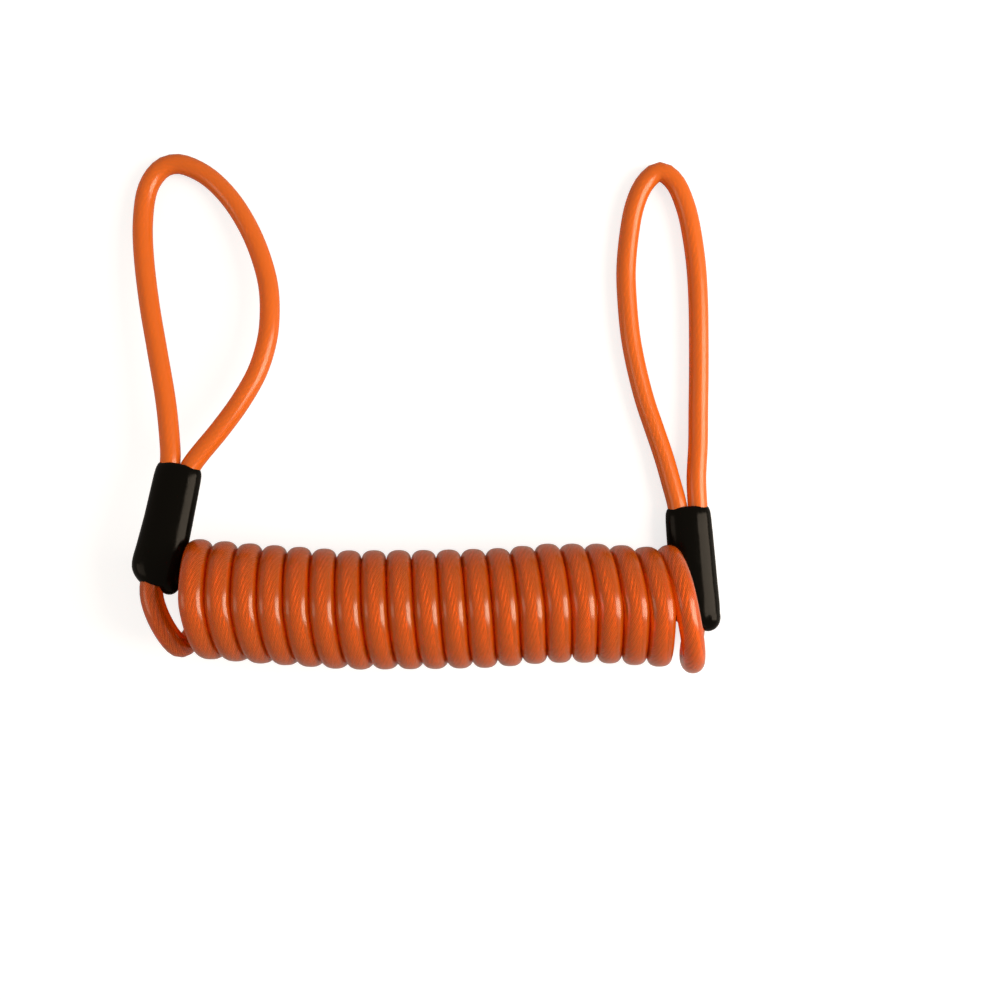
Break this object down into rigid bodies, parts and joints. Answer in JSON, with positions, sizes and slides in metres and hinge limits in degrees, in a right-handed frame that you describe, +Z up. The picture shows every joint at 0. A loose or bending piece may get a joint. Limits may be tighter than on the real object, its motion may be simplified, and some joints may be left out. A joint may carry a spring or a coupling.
{
  "type": "coiled reminder cable",
  "caption": "Sprung coil of orange plastic-covered wire rope with an eye at each end, crimped under a black boot, that ties a brake lock to a handlebar as a reminder.",
  "frame": {"origin": "on the table, under the middle of the whole object", "axes": "+X along the coil from the left end to the right end, +Y towards the tips of both eyes, +Z up"},
  "size_m": [0.1249, 0.1096, 0.0245],
  "materials": {
    "jacket": "smooth translucent orange vinyl",
    "rope": "bright stranded steel",
    "ferrule": "pressed, plain",
    "boot": "smooth glossy black vinyl"
  },
  "bodies": {
    "coil": {"coil_turns": "jacket", "left_lead": "jacket"},
    "left_eye": {"left_boot": "boot", "left_ferrule": "ferrule", "left_eye_jacket": "jacket", "left_eye_rope": "rope"},
    "coil_far_end": {"right_lead": "jacket"},
    "right_eye": {"right_boot": "boot", "right_ferrule": "ferrule", "right_eye_jacket": "jacket", "right_eye_rope": "rope"}
  },
  "joints": [
    {"name": "coil_stretch", "type": "slide", "parent": "coil", "child": "coil_far_end", "axis": [1, 0, 0], "range_m": [0, 0.8], "stiffness_N_per_m": 9, "deforming": ["coil_turns"]},
    {"name": "left_swing", "type": "hinge", "parent": "coil", "child": "left_eye", "pos_m": [-0.0525, -0.043, 0.013], "axis": [0, 0, 1], "range_deg": [0, 90], "stiffness_Nm_per_rad": 0.05, "deforming": ["left_lead"]},
    {"name": "right_swing", "type": "hinge", "parent": "coil_far_end", "child": "right_eye", "pos_m": [0.0595, -0.05, 0.0032], "axis": [0, 0, 1], "range_deg": [-90, 0], "stiffness_Nm_per_rad": 0.05, "deforming": ["right_lead"]}
  ]
}
